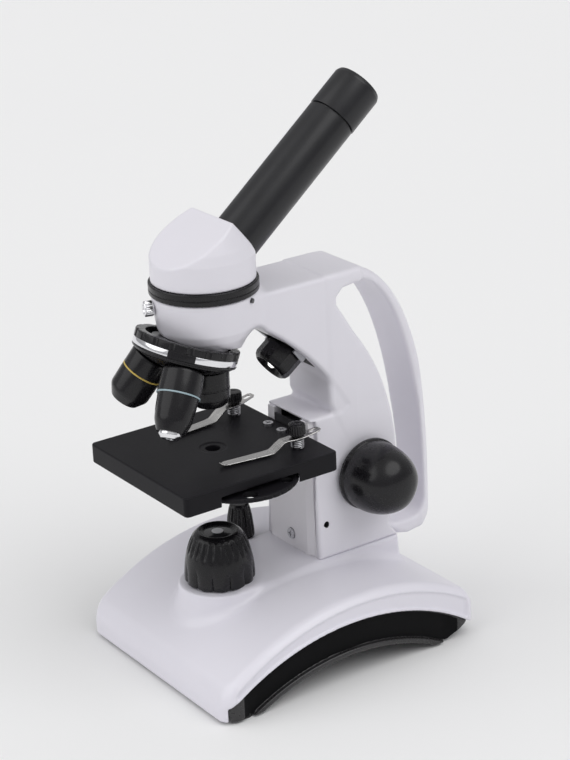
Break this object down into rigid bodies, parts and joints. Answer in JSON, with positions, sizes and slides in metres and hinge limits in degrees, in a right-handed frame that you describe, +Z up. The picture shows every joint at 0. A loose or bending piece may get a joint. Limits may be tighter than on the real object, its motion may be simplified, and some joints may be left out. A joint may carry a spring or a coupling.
{
  "type": "student compound microscope",
  "caption": "Upright student microscope with an inclined turning head, a revolving nosepiece, a rack-driven stage with clips and a filter disc, lamps above and below, and a bowed carrying handle",
  "frame": {"origin": "centre of the footprint on the surface that the rubber feet stand on", "axes": "+X across the stand toward the right-hand focus knob, +Y from the stage to the handle, +Z up"},
  "size_m": [0.132, 0.1748, 0.2964],
  "materials": {
    "shell_white": "satin white enamel look",
    "base_black": "fine satin black",
    "knob_black": "satin black",
    "rubber_black": "matte",
    "white_casting": "satin white powder coat",
    "white_plate": "satin white powder coat",
    "chrome_part": "bright plate",
    "steel_part": "fine ground",
    "black_metal": "satin black enamel",
    "stage_black": "fine matt black enamel",
    "optic_glass": "coated glass",
    "brass_part": "machined",
    "green_board": "solder mask",
    "blue_pot": "moulded",
    "cell_wrap": "printed wrap, plain",
    "lamp_white": "white board",
    "band_paint": "coloured ring",
    "grey_bracket": "fine ground"
  },
  "bodies": {
    "stand": {"base_shell": "shell_white", "base_plate": "base_black", "rubber_feet": "rubber_black", "base_screws": "steel_part", "battery_cover": "base_black", "battery_tray": "base_black", "batteries": "cell_wrap", "circuit_board": "green_board", "dimmer_pot": "blue_pot", "power_jack": "base_black", "lamp_housing": "knob_black", "lamp_lens": "optic_glass", "lamp_board": "lamp_white", "arm_casting": "white_casting", "front_plate": "white_plate", "front_plate_screw": "steel_part", "guide_ways": "steel_part", "focus_bushes": "brass_part", "arm_bolts": "steel_part", "nosepiece_mount": "black_metal", "click_spring": "steel_part", "ring_stop_screw": "black_metal", "lamp_bracket": "grey_bracket"},
    "head": {"head_housing": "white_casting", "head_ring": "black_metal", "head_flange": "steel_part", "prism": "optic_glass", "eyepiece_tube": "black_metal"},
    "eyepiece": {"eyepiece_barrel": "black_metal", "eyepiece_cap": "knob_black", "eye_lens": "optic_glass", "field_lens": "optic_glass"},
    "head_lock": {"head_lock_screw": "chrome_part"},
    "turret": {"turret_shell": "black_metal", "turret_rim": "chrome_part", "objective_low": "black_metal", "objective_mid": "black_metal", "objective_high": "black_metal", "objective_bands": "band_paint", "objective_lenses": "optic_glass", "nose_spring": "steel_part"},
    "sprung_nose": {"high_nose": "chrome_part", "high_front_lens": "optic_glass"},
    "stage": {"stage_plate": "stage_black", "stage_bracket": "black_metal", "bracket_screws": "steel_part", "focus_rack": "brass_part", "disc_pivot": "steel_part"},
    "disc": {"filter_disc": "base_black"},
    "right_clip": {"clip_right": "chrome_part", "clip_right_post": "knob_black"},
    "left_clip": {"clip_left": "chrome_part", "clip_left_post": "knob_black"},
    "focus": {"focus_shaft": "steel_part", "focus_pinion": "brass_part", "focus_knobs": "knob_black"},
    "top_lamp": {"upper_lamp": "knob_black", "upper_lamp_lens": "optic_glass"},
    "dial": {"brightness_knob": "knob_black"}
  },
  "joints": [
    {"name": "head_swivel", "type": "hinge", "parent": "stand", "child": "head", "pos_m": [0, -0.04245, 0.20135], "axis": [0, 0, 1], "continuous": true},
    {"name": "eyepiece_slide", "type": "slide", "parent": "head", "child": "eyepiece", "axis": [0, 0.7705, 0.6374], "range_m": [0, 0.02]},
    {"name": "lock_turn", "type": "hinge", "parent": "stand", "child": "head_lock", "pos_m": [-0.00772, -0.06738, 0.1955], "axis": [-0.2957, -0.9553, 0], "range_deg": [-180, 180]},
    {"name": "turret_turn", "type": "hinge", "parent": "stand", "child": "turret", "pos_m": [0, -0.04245, 0.2068], "axis": [0, 0.3486, 0.9373], "continuous": true},
    {"name": "nose_retract", "type": "slide", "parent": "turret", "child": "sprung_nose", "axis": [-0.3019, 0.4901, 0.8177], "range_m": [0, 0.0025], "stiffness_N_per_m": 300, "springref_m": -0.001, "deforming": ["nose_spring"]},
    {"name": "focus_turn", "type": "hinge", "parent": "stand", "child": "focus", "pos_m": [0, 0.03655, 0.089], "axis": [-1, 0, 0], "range_deg": [-138, 64]},
    {"name": "stage_slide", "type": "slide", "parent": "stand", "child": "stage", "axis": [0, 0, 1], "range_m": [-0.012, 0.0055]},
    {"name": "disc_turn", "type": "hinge", "parent": "stage", "child": "disc", "pos_m": [0.024, -0.04245, 0.109], "axis": [0, 0, 1], "continuous": true},
    {"name": "right_clip_swing", "type": "hinge", "parent": "stage", "child": "right_clip", "pos_m": [0.0285, -0.01045, 0.118], "axis": [0, 0, 1], "range_deg": [-15, 35]},
    {"name": "left_clip_swing", "type": "hinge", "parent": "stage", "child": "left_clip", "pos_m": [-0.0285, -0.01045, 0.118], "axis": [0, 0, 1], "range_deg": [-35, 15]},
    {"name": "top_lamp_tilt", "type": "hinge", "parent": "stand", "child": "top_lamp", "pos_m": [0, 0.00685, 0.16107], "axis": [1, 0, 0], "range_deg": [-7, 7]},
    {"name": "dial_turn", "type": "hinge", "parent": "stand", "child": "dial", "pos_m": [-0.033, -0.00745, 0.046], "axis": [0, 0, 1], "range_deg": [0, 270]}
  ],
  "couplings": [
    {"joint": "focus_turn", "follows": "stage_slide", "rad_per_m": 200}
  ]
}
